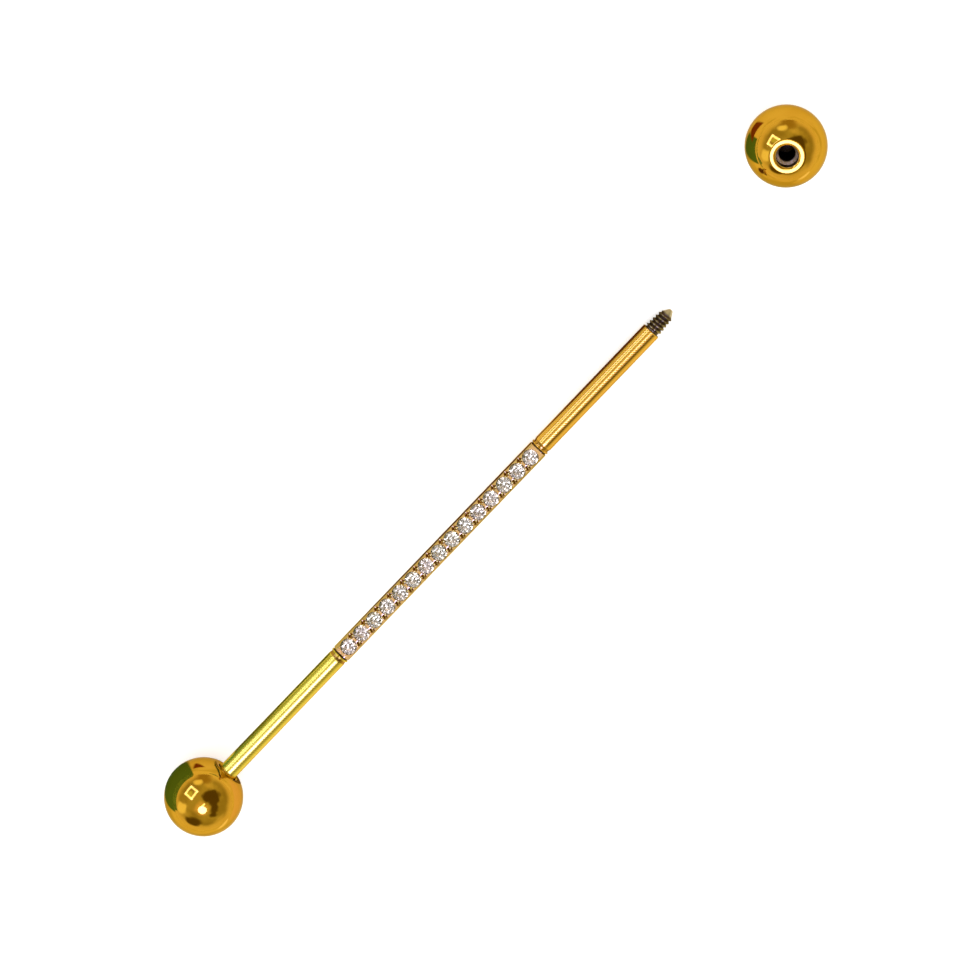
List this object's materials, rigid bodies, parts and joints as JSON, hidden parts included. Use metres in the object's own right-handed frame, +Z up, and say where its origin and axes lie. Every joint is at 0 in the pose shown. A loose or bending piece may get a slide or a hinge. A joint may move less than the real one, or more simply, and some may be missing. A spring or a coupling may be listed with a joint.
{
  "type": "industrial barbell",
  "caption": "Straight industrial piercing barbell with a row of round stones set in the bar, a ball on each end and one ball unscrewed from the threaded tip.",
  "frame": {"origin": "centre of the box round the whole object, on the surface that it lies on", "axes": "+X from the fixed ball towards the threaded tip and the unscrewed ball, +Y to the side on which the unscrewed ball lies, +Z up"},
  "size_m": [0.0598, 0.0074, 0.005],
  "materials": {
    "gold_plate": "polished gold-coloured plating on steel, bare steel on the thread",
    "clear_stone": "clear faceted stone"
  },
  "bodies": {
    "root": {"bar": "gold_plate", "fixed_ball": "gold_plate", "loose_ball": "gold_plate", "stone_01": "clear_stone", "stone_02": "clear_stone", "stone_03": "clear_stone", "stone_04": "clear_stone", "stone_05": "clear_stone", "stone_06": "clear_stone", "stone_07": "clear_stone", "stone_08": "clear_stone", "stone_09": "clear_stone", "stone_10": "clear_stone", "stone_11": "clear_stone", "stone_12": "clear_stone", "stone_13": "clear_stone", "stone_14": "clear_stone", "stone_15": "clear_stone"}
  },
  "joints": []
}
